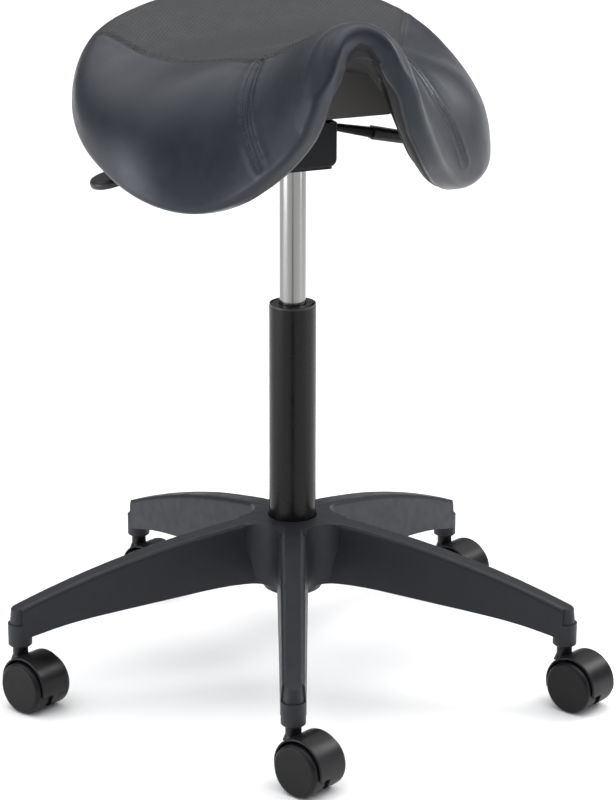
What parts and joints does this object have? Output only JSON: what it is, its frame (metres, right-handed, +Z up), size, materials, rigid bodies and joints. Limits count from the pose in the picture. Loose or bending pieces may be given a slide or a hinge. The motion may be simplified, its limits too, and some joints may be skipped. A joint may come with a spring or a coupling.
{
  "type": "dentist stool",
  "caption": "Saddle stool on a star base with twin-wheel castors: upholstered saddle seat on a tilt mechanism and a height-adjusting gas column with two levers.",
  "frame": {"origin": "on the floor, under the axis of the column", "axes": "+Z up along the column; the sitter faces -Y; the sitter's left is +X"},
  "size_m": [0.6254, 0.6461, 0.7404],
  "materials": {
    "nylon_base": "glass-filled nylon, fine matte texture",
    "column_black": "satin black powder coat",
    "black_plastic": "fine moulded texture",
    "bright_steel": "ground and polished",
    "plain_steel": "turned steel",
    "black_steel": "satin black paint",
    "castor_nylon": "moulded nylon",
    "wheel_nylon": "moulded nylon, slightly satin",
    "rubber": "moulded rubber",
    "seat_leather": "smooth black leather, fine grain",
    "shell_plastic": "moulded shell",
    "block_plastic": "matte grey-brown moulding"
  },
  "bodies": {
    "base": {"star_base": "nylon_base", "castor_sleeves": "plain_steel", "column_tube": "column_black", "column_guide_bush": "black_plastic", "column_end_plate": "plain_steel", "bearing_lower_washer": "plain_steel", "bearing_balls": "plain_steel", "bearing_cage": "black_plastic"},
    "rod": {"piston_rod": "plain_steel", "rod_clip": "plain_steel", "bearing_upper_washer": "plain_steel", "bump_washer": "rubber", "rod_piston": "black_plastic"},
    "lift": {"pressure_tube": "bright_steel", "tube_gland": "plain_steel", "valve_body": "black_plastic", "mechanism_housing": "black_steel", "mechanism_bottom_plate": "black_steel", "housing_screws": "black_steel", "taper_socket": "plain_steel", "mechanism_brace": "plain_steel", "lever_pivot_pins": "plain_steel", "tilt_pivot_pins": "black_steel"},
    "valve_pin": {"valve_pin": "plain_steel"},
    "height_lever": {"height_lever_rod": "black_steel", "height_lever_paddle": "black_plastic"},
    "tilt_lever": {"tilt_lever_rod": "black_steel", "tilt_lever_grip": "black_plastic", "tilt_lock_cam": "black_steel"},
    "seat": {"seat_carrier": "black_steel", "seat_carrier_screws": "plain_steel", "seat_base_block": "block_plastic", "seat_shell": "shell_plastic", "seat_cushion": "seat_leather", "seat_block_screws": "plain_steel"},
    "castor_1": {"castor_1_hood": "castor_nylon", "castor_1_stem": "plain_steel", "castor_1_axle": "plain_steel"},
    "castor_1_left": {"castor_1_wheel_left": "wheel_nylon"},
    "castor_1_right": {"castor_1_wheel_right": "wheel_nylon"},
    "castor_2": {"castor_2_hood": "castor_nylon", "castor_2_stem": "plain_steel", "castor_2_axle": "plain_steel"},
    "castor_2_left": {"castor_2_wheel_left": "wheel_nylon"},
    "castor_2_right": {"castor_2_wheel_right": "wheel_nylon"},
    "castor_3": {"castor_3_hood": "castor_nylon", "castor_3_stem": "plain_steel", "castor_3_axle": "plain_steel"},
    "castor_3_left": {"castor_3_wheel_left": "wheel_nylon"},
    "castor_3_right": {"castor_3_wheel_right": "wheel_nylon"},
    "castor_4": {"castor_4_hood": "castor_nylon", "castor_4_stem": "plain_steel", "castor_4_axle": "plain_steel"},
    "castor_4_left": {"castor_4_wheel_left": "wheel_nylon"},
    "castor_4_right": {"castor_4_wheel_right": "wheel_nylon"},
    "castor_5": {"castor_5_hood": "castor_nylon", "castor_5_stem": "plain_steel", "castor_5_axle": "plain_steel"},
    "castor_5_left": {"castor_5_wheel_left": "wheel_nylon"},
    "castor_5_right": {"castor_5_wheel_right": "wheel_nylon"}
  },
  "joints": [
    {"name": "seat_swivel", "type": "hinge", "parent": "base", "child": "rod", "pos_m": [0, 0, 0.107], "axis": [0, 0, 1], "continuous": true},
    {"name": "seat_height", "type": "slide", "parent": "rod", "child": "lift", "axis": [0, 0, 1], "range_m": [-0.125, 0.07]},
    {"name": "seat_tilt", "type": "hinge", "parent": "lift", "child": "seat", "pos_m": [0, -0.02, 0.6], "axis": [1, 0, 0], "range_deg": [-4, 9]},
    {"name": "height_lever_lift", "type": "hinge", "parent": "lift", "child": "height_lever", "pos_m": [-0.024, 0, 0.602], "axis": [0, 1, 0], "range_deg": [0, 5], "stiffness_Nm_per_rad": 8, "springref_deg": -6.88},
    {"name": "valve_press", "type": "slide", "parent": "lift", "child": "valve_pin", "axis": [0, 0, -1], "range_m": [0, 0.0024]},
    {"name": "tilt_lever_lift", "type": "hinge", "parent": "lift", "child": "tilt_lever", "pos_m": [0.022, 0.023, 0.601], "axis": [0, -1, 0], "range_deg": [0, 8]},
    {"name": "castor_1_swivel", "type": "hinge", "parent": "base", "child": "castor_1", "pos_m": [-0.11388, -0.28046, 0.07], "axis": [0, 0, 1], "continuous": true},
    {"name": "castor_1_roll_left", "type": "hinge", "parent": "castor_1", "child": "castor_1_left", "pos_m": [-0.104, -0.30011, 0.0275], "axis": [0.8934, 0.4493, 0], "continuous": true},
    {"name": "castor_1_roll_right", "type": "hinge", "parent": "castor_1", "child": "castor_1_right", "pos_m": [-0.104, -0.30011, 0.0275], "axis": [0.8934, 0.4493, 0], "continuous": true},
    {"name": "castor_2_swivel", "type": "hinge", "parent": "base", "child": "castor_2", "pos_m": [0.23154, -0.19498, 0.07], "axis": [0, 0, 1], "continuous": true},
    {"name": "castor_2_roll_left", "type": "hinge", "parent": "castor_2", "child": "castor_2_left", "pos_m": [0.24143, -0.21463, 0.0275], "axis": [0.8934, 0.4493, 0], "continuous": true},
    {"name": "castor_2_roll_right", "type": "hinge", "parent": "castor_2", "child": "castor_2_right", "pos_m": [0.24143, -0.21463, 0.0275], "axis": [0.8934, 0.4493, 0], "continuous": true},
    {"name": "castor_3_swivel", "type": "hinge", "parent": "base", "child": "castor_3", "pos_m": [0.25698, 0.15996, 0.07], "axis": [0, 0, 1], "continuous": true},
    {"name": "castor_3_roll_left", "type": "hinge", "parent": "castor_3", "child": "castor_3_left", "pos_m": [0.26687, 0.1403, 0.0275], "axis": [0.8934, 0.4493, 0], "continuous": true},
    {"name": "castor_3_roll_right", "type": "hinge", "parent": "castor_3", "child": "castor_3_right", "pos_m": [0.26687, 0.1403, 0.0275], "axis": [0.8934, 0.4493, 0], "continuous": true},
    {"name": "castor_4_swivel", "type": "hinge", "parent": "base", "child": "castor_4", "pos_m": [-0.07272, 0.29384, 0.07], "axis": [0, 0, 1], "continuous": true},
    {"name": "castor_4_roll_left", "type": "hinge", "parent": "castor_4", "child": "castor_4_left", "pos_m": [-0.06283, 0.27418, 0.0275], "axis": [0.8934, 0.4493, 0], "continuous": true},
    {"name": "castor_4_roll_right", "type": "hinge", "parent": "castor_4", "child": "castor_4_right", "pos_m": [-0.06283, 0.27418, 0.0275], "axis": [0.8934, 0.4493, 0], "continuous": true},
    {"name": "castor_5_swivel", "type": "hinge", "parent": "base", "child": "castor_5", "pos_m": [-0.30192, 0.02164, 0.07], "axis": [0, 0, 1], "continuous": true},
    {"name": "castor_5_roll_left", "type": "hinge", "parent": "castor_5", "child": "castor_5_left", "pos_m": [-0.29204, 0.00199, 0.0275], "axis": [0.8934, 0.4493, 0], "continuous": true},
    {"name": "castor_5_roll_right", "type": "hinge", "parent": "castor_5", "child": "castor_5_right", "pos_m": [-0.29204, 0.00199, 0.0275], "axis": [0.8934, 0.4493, 0], "continuous": true}
  ],
  "couplings": [
    {"joint": "valve_press", "follows": "height_lever_lift", "m_per_rad": 0.024}
  ]
}
